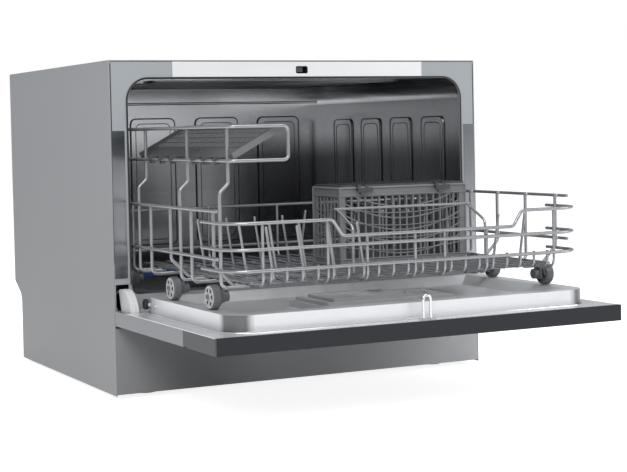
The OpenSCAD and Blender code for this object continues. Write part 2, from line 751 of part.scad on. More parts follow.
module dispenser_lid() color(grey_plastic) at_front() difference() {
  soft_box([lid_x0, lid_y0, lid_z], [lid_x1, lid_y1, lid_z + lid_t], 2);
  for (y = [lid_y0 + 16:8:lid_y0 + 40])
    box([lid_x0 + 10, y, lid_z + lid_t - 0.8], [lid_x0 + 42, y + 3, lid_z + lid_t + 1]);
}

module rinse_aid_cap() color(charcoal) at_front() translate([cap_x, cap_y, disp_z + 3.3]) {
  cylinder(d = 33, h = 6);
  box([-13, -2, 6], [13, 2, 10]);
}

module striker() color(steel) at_front() {
  wire([
    [-5, striker_y + 1, rim_z + 0.05], [-5, striker_y + 1, striker_top], [5, striker_y + 1, striker_top],
    [5, striker_y + 1, rim_z + 0.05]
  ], 4.5, 3.6);
  soft_box([-12, striker_y - 3, rim_z + 0.02], [12, striker_y + 5, rim_z + 1.5], 2);
}

module hinge_arms() color(white_plastic) at_front() both_sides()
  translate([0, hinge_y, hinge_z]) difference() {
    union() {
      side_extrude(arm_x, arm_x + arm_t) intersection() {
        circle(r = arm_r);
        polygon([[0, 0], [-arm_r * 2, -6], [-arm_r * 2, arm_r], [0, arm_r * 2], [arm_r * 0.7, arm_r * 2]]);
      }
      bar_x(arm_x, arm_x + arm_t, 0, 0, 14);
      box([arm_x - 3.5, -80, -9], [arm_x + arm_t, -6, -3]);
    }
    bar_x(arm_x - 5, arm_x + arm_t + 5, 0, 0, hinge_pin_d + 2 * fit_gap);
    side_extrude(arm_x - 1, arm_x + arm_t - 3) intersection() {
      difference() {
        circle(r = arm_r - 3);
        circle(r = 10);
      }
      polygon([[-3, 3], [-arm_r * 2, 0], [-arm_r * 2, arm_r], [0, arm_r * 2], [8, arm_r * 2]]);
    }
  }

module control_board() color([0.1, 0.35, 0.2]) at_front()
  box([-210, -(door_len - 20), board_z], [210, -(door_len - 56), board_z + 1.6]);

module display_window() color(black) at_front() {
  y0 = -(door_len - edge_t) + 0.1;
  box([60.1, y0 + 14.1, rim_z - door_t], [149.9, y0 + 43.9, rim_z - door_t + 1.4]);
}

module button(x) color(charcoal) at_front() translate([x, button_y, rim_z - door_t]) {
  cylinder(d = button_d, h = 6);
  translate([0, 0, 6]) cylinder(d = 5, h = 3);
}

module power_button() button(button_x[0]);
module program_button() button(button_x[1]);
module start_button() button(button_x[2]);

// ---- rack ----

// Rail that runs along one end of the rack and turns both corners
module end_rail(y, toward, z, arm) wire([
  [-rack_hw, y + toward * arm, z], [-rack_hw, y, z], [rack_hw, y, z], [rack_hw, y + toward * arm, z]
], corner_r, rail_d, hairline);

// Upright behind an end rail; its foot runs in to the nearest cross wire
module end_upright(x, y, foot_y, top) wire([
  [x, y, top], [x, y, cross_z], [x, foot_y, cross_z]
], bend_r, tine_d, hairline);

module rack_front() color(wire_grey) at_rack() {
  z = front_top_z;
  low = z - dip_drop;
  half = dip_run / 2;
  wire([
    [-rack_hw, rail_arm, z], [-rack_hw, 0, z], [dip_left - half, 0, z], [dip_left + half, 0, low],
    [dip_right - half, 0, low], [dip_right + half, 0, z], [rack_hw, 0, z], [rack_hw, rail_arm, z]
  ], [corner_r, 8, 8, 8, 8, corner_r], rail_d, hairline);
  end_rail(0, 1, front_mid_z, rail_arm);
  end_rail(0, 1, front_low_z, rail_arm);
  for (x = [-65, 0, 41, 101]) end_upright(x, upright_y, foot_front, low);
  for (x = [-outer_x, dip_left - 11, outer_x]) end_upright(x, upright_y, foot_front, z);
}

module rack_back() color(wire_grey) at_rack() {
  end_rail(rack_depth, -1, front_low_z, rail_arm);
  end_rail(rack_depth, -1, front_top_z, rail_arm);
  for (x = [10 - outer_x, -105, 0, 105, outer_x - 10])
    end_upright(x, rack_depth - upright_y, foot_back, front_top_z);
}

// Points of a side wire below the given height: square under the floor, or slanted in over a wheel
function side_foot(y, from_z, end_x) =
  let (over = [for (w = wheel_ys) if (abs(y - w) < wheel_d / 2 + rail_d) w])
  len(over) > 0
    ? [[-side_x, y, from_z], [-side_x, y, front_low_z + 3], [-floor_hw - 2, y, cross_z], [-end_x, y, cross_z]]
    : [[-side_x, y, from_z], [-side_x, y, cross_z], [-end_x, y, cross_z]];

// Side uprights from the upper rail, turned in under the floor
module side_wires() {
  for (y = cross_y) wire(side_foot(y, side_top_z + 1, cross_end), 8, rail_d, hairline);
  for (z = [side_low_z, side_top_z]) bar_y(35, rack_depth - 8, -rack_hw, z, rail_d);
}

module rack_left() color(wire_grey) at_rack() side_wires();
module rack_right() color(wire_grey) at_rack() mirror([1, 0, 0]) side_wires();

module rack_floor() color(wire_grey) at_rack() {
  for (y = cross_y)
    bar_x(-cross_end + hairline, cross_end - hairline, y, cross_z, rail_d);
  for (x = [-floor_edge:floor_pitch:floor_edge]) wire([
    [x, upright_y, front_low_z + 3], [x, upright_y, floor_z], [x, rack_depth - 12, floor_z]
  ], 8, tine_d, hairline);
  both_sides() bar_y(24, rack_depth - 24, floor_hw - 8, cross_z + rail_d + hairline, rail_d);
}

module rack_tines() color(wire_grey) at_rack()
  for (row = tine_rows, i = [0:row[2] - 1]) {
    x = row[0] * (floor_edge - (row[1] - row[0] * i * 2) * floor_pitch);
    rod([x, row[3], floor_z + tine_d / 2 + 0.05], [x + row[4], row[3], floor_z + tine_h], tine_d);
  }

// Frame that keeps the basket behind the dip of the front rail
module basket_rail() color(wire_grey) at_rack() {
  for (x = [rail_left, rail_right]) wire([
    [x, rail_y, floor_z + tine_d / 2 + 0.1], [x, rail_y, rail_z], [x, rail_bar_y, rail_bar_z]
  ], 8, tine_d, hairline);
  bar_x(rail_left - tine_d, rail_right + tine_d, rail_bar_y + 1.9, rail_bar_z + 0.9, tine_d);
}

module guard_frame() color(wire_grey) at_rack() {
  g = -guard_x - rail_d - 0.05;
  middle = (guard_top_z + guard_low_z) / 2;
  wire([
    [g, guard_back, middle], [g, guard_back, guard_top_z], [g, guard_front, guard_top_z],
    [g + guard_return, guard_front, guard_top_z], [g + guard_return, guard_front, guard_low_z],
    [g, guard_front, guard_low_z], [g, guard_back, guard_low_z], [g, guard_back, middle]
  ], 6, rail_d, hairline);
  for (y = guard_y) wire([
    [-floor_hw + 9.5, y, cross_z], [-side_x, y, cross_z], [-side_x, y, guard_low_z - 36],
    [-guard_x, y, guard_low_z - 26], [-guard_x, y, guard_top_z + 1]
  ], 7, rail_d, hairline);
}

// Clips that hang the axles from the floor: a plate beside the wheel, a round boss and a hook over the rail
module axle_clips() color(grey_plastic) at_rack() both_sides() for (y = wheel_ys) {
  top = cross_z - rail_d / 2 - 0.05;
  side_extrude(clip_x - 3.5, clip_x)
    translate([y, wheel_z]) rotate(90) soft_rect(-7, -7, top - wheel_z, 7, 4, 1);
  bar_x(clip_x - 10, clip_x - 3.4, y, wheel_z, 13);
  box([floor_hw - 13, y - 4.5, top - 3], [clip_x - 3.4, y + 1.5, top]);
  box([floor_hw - 13, y - 4.5, top - 3], [floor_hw - 10.2, y + 1.5, floor_z + 3]);
  head_x = wheel_x + wheel_w / 2 + clear;
  bar_x(clip_x - 0.5, head_x + 1.6, y, wheel_z, axle_d);
  bar_x(head_x, head_x + 1.5, y, wheel_z, axle_d + 3);
}

// Rack wheel: a dished rim on five spokes, with a long hub on its inner face
module wheel(side, index) color(grey_plastic) at_rack()
  translate([side * wheel_x, wheel_ys[index], wheel_z]) rotate([0, side * 90, 0]) difference() {
    h = wheel_w / 2;
    r = wheel_d / 2;
    rotate_extrude() difference() {
      polygon([
        [0, -h], [r - 4, -h], [r - 4, -h + 2], [r - 1, -h + 2.5], [r, -h + 4], [r, h - 1.5],
        [r - 1.5, h], [0, h]
      ]);
      translate([5.5, h - 2]) square([r - 8.5, 3]);
      translate([5.5, -h - 1]) square([r - 11, 5]);
    }
    translate([0, 0, -h - 1]) cylinder(d = axle_d + 2 * fit_gap, h = wheel_w + 2);
    for (a = [0:72:288]) rotate([0, 0, a]) translate([r - 6, 0, -h]) cylinder(d = 4.6, h = wheel_w);
  }

module wheel_1() wheel(-1, 0);
module wheel_2() wheel(-1, 1);
module wheel_3() wheel(-1, 2);
module wheel_4() wheel(1, 0);
module wheel_5() wheel(1, 1);
module wheel_6() wheel(1, 2);

// ---- cup shelf ----

module cup_shelf() color(grey_plastic) at_rack()
  translate([-guard_x - rail_d - 0.05, 0, guard_low_z]) rotate([0, -shelf_tilt, 0]) difference() {
    union() {
      translate([0, 0, -shelf_t / 2]) linear_extrude(shelf_t) difference() {
        translate([shelf_root, shelf_front]) square([shelf_w - shelf_root, shelf_len]);
        for (y = [shelf_front + 12:16:shelf_front + shelf_len - 14], x = [30, 58])
          translate([x, y]) square([24, 9]);
      }
      for (y = [shelf_front, shelf_front + shelf_len - 2.4])
        translate([shelf_root, y, 0]) cube([shelf_w - shelf_root, 2.4, 6]);
      translate([shelf_w - 2.4, shelf_front, 0]) cube([2.4, shelf_len, 6]);
      for (y = shelf_clips) {
        translate([0, y - 4, 0]) rotate([-90, 0, 0]) cylinder(d = rail_d + 4, h = 8);
        translate([0, y - 4, -shelf_t / 2]) cube([shelf_root + 1, 8, shelf_t]);
      }
    }
    for (y = shelf_clips) {
      translate([0, y - 5, 0]) rotate([-90, 0, 0]) cylinder(d = rail_d + 2 * fit_gap, h = 10);
      translate([-8, y - 5, -1.2]) cube([8, 10, 2.4]);
    }
    for (y = guard_y) translate([-1, y - rail_d / 2 - 1.5, -10]) cube([shelf_notch + 1, rail_d + 3, 20]);
  }

// ---- cutlery basket ----

module basket_wall(w, h) difference() {
  square([w, h]);
  slots = floor((w - 14) / 9.5);
  for (i = [0:slots - 1]) translate([7 + i * (w - 14) / slots, 9]) square([(w - 14) / slots - 2, h - 22]);
}

// Bowed cross bars of a wall
module basket_bars(w, h) intersection() {
  translate([5, 8]) square([w - 10, h - 19]);
  for (i = [0:4]) translate([w / 2, 12.5 + i * 15 + w]) difference() {
    circle(r = w, $fn = 96);
    circle(r = w - 1.6, $fn = 96);
  }
}

module cutlery_basket() color(grey_plastic) at_rack()
  translate([basket_x - basket_w / 2, basket_y, basket_z]) {
    for (y = [basket_t, basket_d]) translate([0, y, 0]) rotate([90, 0, 0])
      linear_extrude(basket_t) {
        basket_wall(basket_w, basket_h);
        basket_bars(basket_w, basket_h);
      }
    for (x = [0, basket_w - basket_t]) translate([x, basket_t - eps, 0]) rotate([90, 0, 90])
      linear_extrude(basket_t) basket_wall(basket_d - 2 * basket_t + 2 * eps, basket_h);
    linear_extrude(basket_t) difference() {
      translate([basket_t / 2, basket_t / 2]) square([basket_w - basket_t, basket_d - basket_t]);
      for (x = [8:11:basket_w - 14], y = [8, basket_d / 2 + 3])
        translate([x, y]) square([8, basket_d / 2 - 12]);
    }
    for (x = [basket_w / 3, 2 * basket_w / 3])
      translate([x - 0.8, basket_t / 2, basket_t / 2]) cube([1.6, basket_d - basket_t, 62]);
    for (x = basket_hinges) translate([x, -3.2, basket_h - 2.6]) difference() {
      union() {
        rotate([0, 90, 0]) cylinder(d = 5.4, h = 5);
        translate([0, 0, -7]) cube([5, 3.4, 7]);
      }
      translate([-1, 0, 0]) rotate([0, 90, 0]) cylinder(d = 2.6 + 2 * fit_gap, h = 7);
    }
  }

module basket_grid() color(charcoal) at_rack()
  translate([basket_x - basket_w / 2, basket_y, basket_z + basket_h + clear]) {
    linear_extrude(1.8) difference() {
      translate([2, 0.5]) square([basket_w - 4, basket_d - 1]);
      for (x = [9:13.2:basket_w - 20], y = [9, 32, 55]) translate([x, y]) square([10, 17]);
    }
    for (x = basket_hinges) {
      translate([x - 6, -3.2, -2.6 - clear]) rotate([0, 90, 0]) cylinder(d = 2.6, h = 17);
      for (s = [x - 5.6, x + 5.4]) {
        translate([s, -3.2, -2.6 - clear]) rotate([0, 90, 0]) cylinder(d = 5, h = 5.2);
        translate([s, -4.6, -2.6 - clear]) cube([5.2, 2, 4.4 + clear]);
        translate([s, -4.6, 0]) cube([5.2, 7, 1.8]);
      }
    }
  }

// ---- node selection ----

outer_wrap();
front_frame();
top_trim();
column_strips();
kick_plate();
base_pan();
rear_panel();
tub();
door_gasket();
latch_catch();
feet();
sump();
circulation_pump();
drain_pump();
heater();
filter_plate();
filter_cup();
inlet_valve();
drain_spigot();
water_box();
hinge_brackets();
door_springs();
arm_riser();
float_tube();
float_cap();
spray_arm();
cable_gland();
door_panel();
control_panel();
door_edge_trim();
door_liner();
dispenser_body();
dispenser_lid();
rinse_aid_cap();
striker();
hinge_arms();
control_board();
display_window();
power_button();
program_button();
start_button();
rack_floor();
rack_left();
rack_right();
rack_front();
rack_back();
rack_tines();
basket_rail();
guard_frame();
axle_clips();
cup_shelf();
wheel_1();
wheel_2();
wheel_3();
wheel_4();
wheel_5();
wheel_6();
cutlery_basket();
basket_grid();
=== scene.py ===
import math

import bmesh
import bpy
from mathutils import Matrix, Vector


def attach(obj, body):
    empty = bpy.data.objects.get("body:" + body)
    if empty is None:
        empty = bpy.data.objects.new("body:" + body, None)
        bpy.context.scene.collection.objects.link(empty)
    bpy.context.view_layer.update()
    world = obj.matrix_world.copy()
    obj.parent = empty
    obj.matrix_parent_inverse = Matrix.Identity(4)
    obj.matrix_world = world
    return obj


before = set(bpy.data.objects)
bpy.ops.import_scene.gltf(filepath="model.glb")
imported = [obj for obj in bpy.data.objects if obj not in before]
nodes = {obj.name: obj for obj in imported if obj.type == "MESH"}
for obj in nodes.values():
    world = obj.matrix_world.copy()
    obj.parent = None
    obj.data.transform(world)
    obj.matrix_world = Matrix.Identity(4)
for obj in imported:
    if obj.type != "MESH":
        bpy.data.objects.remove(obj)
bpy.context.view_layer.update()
scene = bpy.context.scene

# ---- studio ----
# Pale seamless floor and a soft white surround, with a large key light from the left, a weaker fill from the
# right and one light from above. A long lens looks from the left, slightly above the worktop.


def combine(tree, operation, *values):
    """Math node fed with sockets or numbers; gives its result."""
    node = tree.nodes.new("ShaderNodeMath")
    node.operation = operation
    for socket, value in zip(node.inputs, values):
        if isinstance(value, bpy.types.NodeSocket):
            tree.links.new(value, socket)
        else:
            socket.default_value = value
    return node.outputs[0]


def choose(tree, factor, first, second):
    """Mix of two shaders: the first where the factor is 0 and the second where it is 1."""
    node = tree.nodes.new("ShaderNodeMixShader")
    for socket, value in zip(node.inputs, (factor, first, second)):
        tree.links.new(value, socket)
    return node.outputs[0]


scene.view_settings.view_transform = "Standard"
YAW, PITCH, ROLL = 0.468, 0.034, -0.021
ahead = Vector((math.sin(YAW) * math.cos(PITCH), math.cos(YAW) * math.cos(PITCH), -math.sin(PITCH)))
level = Vector((math.cos(YAW), -math.sin(YAW), 0))
over = level.cross(ahead)
right = level * math.cos(ROLL) + over * math.sin(ROLL)
up = over * math.cos(ROLL) - level * math.sin(ROLL)
camera_data = bpy.data.cameras.new("studio_camera")
camera_data.sensor_width = 36
camera_data.lens = 90.12
camera_data.shift_x = -0.0193
camera_data.shift_y = -0.085
camera = bpy.data.objects.new("studio_camera", camera_data)
camera.matrix_world = Matrix((
    (right.x, up.x, -ahead.x, -0.938486),
    (right.y, up.y, -ahead.y, -1.986456),
    (right.z, up.z, -ahead.z, 0.343403),
    (0, 0, 0, 1),
))
scene.collection.objects.link(camera)
scene.camera = camera

bpy.ops.mesh.primitive_plane_add(size=14, location=(0, 0, -0.0005))
floor = bpy.context.object
floor.name = "studio_floor"
floor_look = bpy.data.materials.new("studio_floor")
floor_look.use_nodes = True
tree = floor_look.node_tree
tree.nodes.clear()
ray = tree.nodes.new("ShaderNodeLightPath").outputs
shiny = combine(tree, "MAXIMUM", ray["Is Camera Ray"], ray["Is Glossy Ray"])
seen = combine(tree, "MAXIMUM", shiny, ray["Is Transmission Ray"])
plain = tree.nodes.new("ShaderNodeBsdfDiffuse")
plain.inputs["Color"].default_value = (0.62, 0.62, 0.62, 1)
glow = tree.nodes.new("ShaderNodeEmission")
glow.inputs["Color"].default_value = (1, 1, 1, 1)
glow.inputs["Strength"].default_value = 0.85
both = tree.nodes.new("ShaderNodeAddShader")
tree.links.new(plain.outputs[0], both.inputs[0])
tree.links.new(glow.outputs[0], both.inputs[1])
out = tree.nodes.new("ShaderNodeOutputMaterial")
tree.links.new(choose(tree, seen, plain.outputs[0], both.outputs[0]), out.inputs["Surface"])
floor.data.materials.append(floor_look)

world = bpy.data.worlds.new("studio_world")
scene.world = world
world.use_nodes = True
tree = world.node_tree
tree.nodes.clear()
ray = tree.nodes.new("ShaderNodeLightPath").outputs
seen = combine(tree, "MAXIMUM", ray["Is Camera Ray"], ray["Is Transmission Ray"])
white = tree.nodes.new("ShaderNodeBackground")
white.inputs["Color"].default_value = (1, 1, 1, 1)
white.inputs["Strength"].default_value = 1.0
soft = tree.nodes.new("ShaderNodeBackground")
soft.inputs["Color"].default_value = (0.93, 0.95, 1.0, 1)
soft.inputs["Strength"].default_value = 0.42
out = tree.nodes.new("ShaderNodeOutputWorld")
tree.links.new(choose(tree, seen, soft.outputs[0], white.outputs[0]), out.inputs["Surface"])

for name, place, target, size, watts in (
    ("key_light", (-1.6, -2.2, 2.0), (0, -0.1, 0.2), 1.6, 62),
    ("fill_light", (2.2, -1.4, 1.3), (0, 0, 0.2), 1.8, 26),
    ("top_light", (0.1, -0.5, 2.4), (0, -0.1, 0.2), 1.5, 34),
):
    lamp = bpy.data.lights.new(name, "AREA")
    lamp.shape = "SQUARE"
    lamp.size = size
    lamp.energy = watts
    holder = bpy.data.objects.new(name, lamp)
    holder.location = place
    holder.rotation_euler = (Vector(target) - Vector(place)).to_track_quat("-Z", "Y").to_euler()
    scene.collection.objects.link(holder)

# ---- painted cabinet ----
# The wrap, the front frame and the back are folded steel sheet, spot-welded at the seams and sprayed in a
# satin grey. The frame is a shade darker than the wrap, and the wrap and back carry painted shade, darker low
# down.


def ramp(tree, value, start, end, first, last, smooth=False):
    """Carries a value that runs from start to end into one that runs from first to last."""
    node = tree.nodes.new("ShaderNodeMapRange")
    if smooth:
        node.interpolation_type = "SMOOTHSTEP"
    for name, number in (("From Min", start), ("From Max", end), ("To Min", first), ("To Max", last)):
        node.inputs[name].default_value = number
    tree.links.new(value, node.inputs["Value"])
    return node.outputs["Result"]


def finish(
    name, colour, rough, metal=0.0, grain=None, bump=0.0, spread=0.06, scale=180.0, coat=0.0, gloss=0.5
):
    """Procedural surface: a colour and roughness broken up by fine noise, stretched along the grain."""
    look = bpy.data.materials.new(name)
    look.use_nodes = True
    tree = look.node_tree
    shade = tree.nodes["Principled BSDF"]
    shade.inputs["Metallic"].default_value = metal
    shade.inputs["Coat Weight"].default_value = coat
    shade.inputs["Specular IOR Level"].default_value = gloss
    where = tree.nodes.new("ShaderNodeTexCoord")
    stretch = tree.nodes.new("ShaderNodeMapping")
    stretch.inputs["Scale"].default_value = grain or (1, 1, 1)
    speck = tree.nodes.new("ShaderNodeTexNoise")
    speck.inputs["Scale"].default_value = scale
    speck.inputs["Detail"].default_value = 4
    cloud = tree.nodes.new("ShaderNodeTexNoise")
    cloud.inputs["Scale"].default_value = 6
    cloud.inputs["Detail"].default_value = 3
    tree.links.new(where.outputs["Object"], stretch.inputs["Vector"])
    tree.links.new(stretch.outputs["Vector"], speck.inputs["Vector"])
    tree.links.new(where.outputs["Object"], cloud.inputs["Vector"])
    tint = tree.nodes.new("ShaderNodeValToRGB")
    tint.color_ramp.elements[0].position = 0.3
    tint.color_ramp.elements[1].position = 0.7
    tint.color_ramp.elements[0].color = [c * (1 - spread) for c in colour] + [1]
    tint.color_ramp.elements[1].color = [min(1, c * (1 + spread)) for c in colour] + [1]
    half = combine(tree, "MULTIPLY", cloud.outputs["Fac"], 0.5)
    mottle = combine(tree, "MULTIPLY_ADD", speck.outputs["Fac"], 0.5, half)
    tree.links.new(mottle, tint.inputs["Fac"])
    tree.links.new(tint.outputs["Color"], shade.inputs["Base Color"])
    shine = ramp(tree, mottle, 0, 1, max(0.02, rough - 0.08), min(1, rough + 0.08))
    tree.links.new(shine, shade.inputs["Roughness"])
    relief = tree.nodes.new("ShaderNodeBump")
    relief.inputs["Strength"].default_value = bump
    relief.inputs["Distance"].default_value = 0.0006
    tree.links.new(speck.outputs["Fac"], relief.inputs["Height"])
    tree.links.new(relief.outputs["Normal"], shade.inputs["Normal"])
    return look


def axes(tree, space):
    """X, Y and Z of a texture coordinate."""
    place = tree.nodes.new("ShaderNodeTexCoord")
    parts = tree.nodes.new("ShaderNodeSeparateXYZ")
    tree.links.new(place.outputs[space], parts.inputs[0])
    return parts.outputs


def darken(tree, amount):
    """Multiplies the colour of a look by a value."""
    colour = tree.nodes["Principled BSDF"].inputs["Base Color"]
    scaled = tree.nodes.new("ShaderNodeVectorMath")
    scaled.operation = "SCALE"
    tree.links.new(colour.links[0].from_socket, scaled.inputs[0])
    tree.links.new(amount, scaled.inputs["Scale"])
    tree.links.new(scaled.outputs[0], colour)


def paint_shade_along(look, *fades):
    """Paints shade into the colour of a look: darkens it along an axis, from full at start to low at end, in
    metres.
    """
    tree = look.node_tree
    place = axes(tree, "Object")
    for axis, start, end, low in fades:
        darken(tree, ramp(tree, place[axis], start, end, 1, low, smooth=True))


def wear(look, *names):
    """Puts a look on CAD nodes."""
    for n in names:
        nodes[n].material_slots[0].material = look


cabinet_look = finish("cabinet_paint", (0.345, 0.355, 0.365), 0.42, bump=0.12, scale=900, spread=0.03)
# Painted shade: the wrap and back get darker towards the bottom.
paint_shade_along(cabinet_look, ("Z", 0.43, 0.06, 0.66))
wear(cabinet_look, "outer_wrap", "rear_panel")
frame_look = finish("frame_paint", (0.30, 0.32, 0.335), 0.40, bump=0.12, scale=900, spread=0.03)
wear(frame_look, "front_frame")

# ---- plinth, base and feet ----
# The kick plate and the base pan are folded sheet, painted a little paler than the cabinet and screwed under
# it, with painted shade that darkens them towards the left. The four feet and the seal round the opening are
# black rubber, pushed into their seats.
plinth_look = finish("plinth_paint", (0.64, 0.645, 0.655), 0.5, bump=0.12, scale=900, spread=0.03)
# Painted shade: the kick plate and base get darker towards the left.
paint_shade_along(plinth_look, ("X", 0.22, -0.02, 0.76), ("X", -0.04, -0.18, 0.48))
wear(plinth_look, "kick_plate", "base_pan")
rubber_look = finish("foot_rubber", (0.015, 0.015, 0.017), 0.8, bump=0.3, scale=400)
wear(rubber_look, "feet", "door_gasket")

# ---- seams of the cabinet ----
# A black strip in the joint between the folded wrap and the front frame is painted shade, standing in for the
# shadow in that gap. A thin black lip of rubber, pressed on, finishes the edge of the tub opening.


def at_front(x, y, z):
    """Metres in the part frame from millimetres behind the front frame."""
    return Vector((x / 1000, (y - 64.5) / 1000, z / 1000))


def add_slab(bm, a, b, soft=0.0):
    """Box between two corners, with its edges softened."""
    lo = Vector([min(p, q) for p, q in zip(a, b)])
    hi = Vector([max(p, q) for p, q in zip(a, b)])
    made = bmesh.ops.create_cube(bm, size=1)["verts"]
    for v in made:
        v.co = Vector([lo[i] + (v.co[i] + 0.5) * (hi[i] - lo[i]) for i in range(3)])
    if soft:
        edges = {e for v in made for e in v.link_edges}
        bmesh.ops.bevel(bm, geom=list(edges), offset=soft, segments=2, affect="EDGES")


def add_prism(bm, outline, rise):
    """Solid between a flat outline and its copy moved by rise."""
    low = [bm.verts.new(p) for p in outline]
    high = [bm.verts.new(p + rise) for p in outline]
    bm.faces.new(low[::-1])
    bm.faces.new(high)
    for k in range(len(low)):
        after = (k + 1) % len(low)
        bm.faces.new((low[k], low[after], high[after], high[k]))


def add_pipe(bm, points, radius, sides=10, closed=False):
    """Round bar swept through the points, with flat ends."""
    count = len(points)
    rings = []
    side = None
    for i, p in enumerate(points):
        before = points[i - 1] if i or closed else p
        after = points[(i + 1) % count] if i < count - 1 or closed else p
        along = (after - before).normalized()
        if side is None:
            side = along.orthogonal().normalized()
        side = (side - along * side.dot(along)).normalized()
        third = along.cross(side)
        rings.append([
            bm.verts.new(p + (side * math.cos(t) + third * math.sin(t)) * radius)
            for t in [2 * math.pi * k / sides for k in range(sides)]
        ])
    pairs = list(zip(rings, rings[1:] + ([rings[0]] if closed else [])))
    for low, high in pairs:
        for k in range(sides):
            bm.faces.new((low[k], low[(k + 1) % sides], high[(k + 1) % sides], high[k]))
    if not closed:
        bm.faces.new(rings[0][::-1])
        bm.faces.new(rings[-1])


def make(name, bm, look, body):
    """Turns the mesh into a piece that rides on a body, shaded smooth except at its sharp edges."""
    bmesh.ops.remove_doubles(bm, verts=bm.verts, dist=1e-7)
    bmesh.ops.recalc_face_normals(bm, faces=bm.faces)
    mesh = bpy.data.meshes.new(name)
    bm.to_mesh(mesh)
    bm.free()
    mesh.materials.append(look)
    piece = bpy.data.objects.new(name, mesh)
    scene.collection.objects.link(piece)
    bpy.ops.object.select_all(action="DESELECT")
    piece.select_set(True)
    bpy.context.view_layer.objects.active = piece
    bpy.ops.object.shade_smooth_by_angle(angle=math.radians(40))
    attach(piece, body)


# Black for the guide rollers; as painted shade it also fills the gap between the wrap and the front frame.
black_roller_and_gap_shade = finish("black_roller_and_gap_shade", (0.010, 0.010, 0.011), 0.55, bump=0.1, scale=600)
face_y = -0.02
seam_x, seam_w, seam_y = 273.9, 1.3, -0.35
seam_foot, seam_head, seam_top = 176, 434, 436.9
bm = bmesh.new()
for s in (-1, 1):
    low = at_front(s * seam_x, seam_y, seam_foot)
    add_slab(bm, low, at_front(s * (seam_x - seam_w), face_y, seam_head), 0.0001)
add_slab(bm, at_front(-seam_x, seam_y, seam_top), at_front(seam_x, face_y, seam_top - 0.7))
make("frame_gap_shade", bm, black_roller_and_gap_shade, "cabinet")

bm = bmesh.new()
opening_x, opening_foot, opening_top, opening_r = 251.2, 172, 414.2, 29
bead_y = -0.55
quarter = [math.pi / 2 * k / 12 for k in range(13)]
points = [at_front(-opening_x, bead_y, opening_foot)]
points += [
    at_front(-opening_x + opening_r * (1 - math.cos(t)), bead_y, opening_top - opening_r * (1 - math.sin(t)))
    for t in quarter
]
points += [
    at_front(opening_x - opening_r * (1 - math.sin(t)), bead_y, opening_top - opening_r * (1 - math.cos(t)))
    for t in quarter
]
points.append(at_front(opening_x, bead_y, opening_foot))
add_pipe(bm, points, 0.0007, 8)
lip_look = finish("opening_seal", (0.012, 0.012, 0.013), 0.25, bump=0.05, scale=300)
make("opening_bead", bm, lip_look, "cabinet")

# ---- bright strips of the front ----
# The header carries a brushed stainless strip with the latch slot, and two more stand
# beside the opening. These run on up the columns as a thinner edge, glued to the frame.
wear(finish("trim_steel", (0.74, 0.74, 0.745), 0.35, 0.35, (1, 80, 80), 0.06, 0.04), "top_trim")
strip_look = finish("strip_steel", (0.32, 0.33, 0.345), 0.16, 1.0, (80, 80, 1), 0.06, 0.08)
wear(strip_look, "column_strips")
strip_in, strip_out, strip_foot, strip_top = 256, 273.5, 298.5, 347
bm = bmesh.new()
for s in (-1, 1):
    low = at_front(s * strip_in, -0.6, strip_foot)
    add_slab(bm, low, at_front(s * strip_out, face_y, strip_top), 0.0001)
make("strip_ends", bm, strip_look, "cabinet")

# ---- latch ----
# The catch is a black moulding behind the header. Inside its slot a pressed steel tongue, riveted to the
# catch, waits for the striker.
black_plastic = finish("black_plastic", (0.012, 0.012, 0.013), 0.45, bump=0.2, scale=600)
wear(black_plastic, "latch_catch")
tongue_left, tongue_right, tongue_front = -5.5, 4.5, 5.5
tongue_foot, lip_foot, tongue_top = 422.2, 428.6, 429.8
bm = bmesh.new()
for foot, back, soft in ((tongue_foot, 6.7, 0.0004), (lip_foot, 16.0, 0.0003)):
    low = at_front(tongue_left, tongue_front, foot)
    add_slab(bm, low, at_front(tongue_right, back, tongue_top), soft)
tongue_look = finish("tongue_steel", (0.10, 0.105, 0.11), 0.4, 0.5, bump=0.1, scale=400)
make("latch_tongue", bm, tongue_look, "cabinet")

# ---- tub and its pressed ribs ----
# The tub is drawn from stainless sheet, with painted shade: darker towards the right, under the ceiling and
# low down. Each stiffening rib has a rounded shoulder, and its edge is traced by a fine dark line of painted
# shade, on the walls, the back and the ceiling.
tub_look = finish("tub_steel", (0.80, 0.81, 0.82), 0.18, 1.0, (60, 60, 1), 0.03, 0.08)
# Painted shade: the tub gets darker towards the right, under the ceiling and low down.
paint_shade_along(tub_look, ("X", -0.12, 0.04, 0.75), ("Z", 0.388, 0.408, 0.55), ("Z", 0.345, 0.29, 0.42))
wear(tub_look, "tub", "filter_plate", "heater")


def rib_outline(w, h):
    """Points of a rounded rectangle, as (across, along) pairs."""
    r = 9
    made = []
    x, y = w / 2 - r, h / 2 - r
    for cx, cy, start in ((x, y, 0), (-x, y, 90), (-x, -y, 180), (x, -y, 270)):
        for k in range(7):
            t = math.radians(start + 15 * k)
            made.append((cx + r * math.cos(t), cy + r * math.sin(t)))
    return made


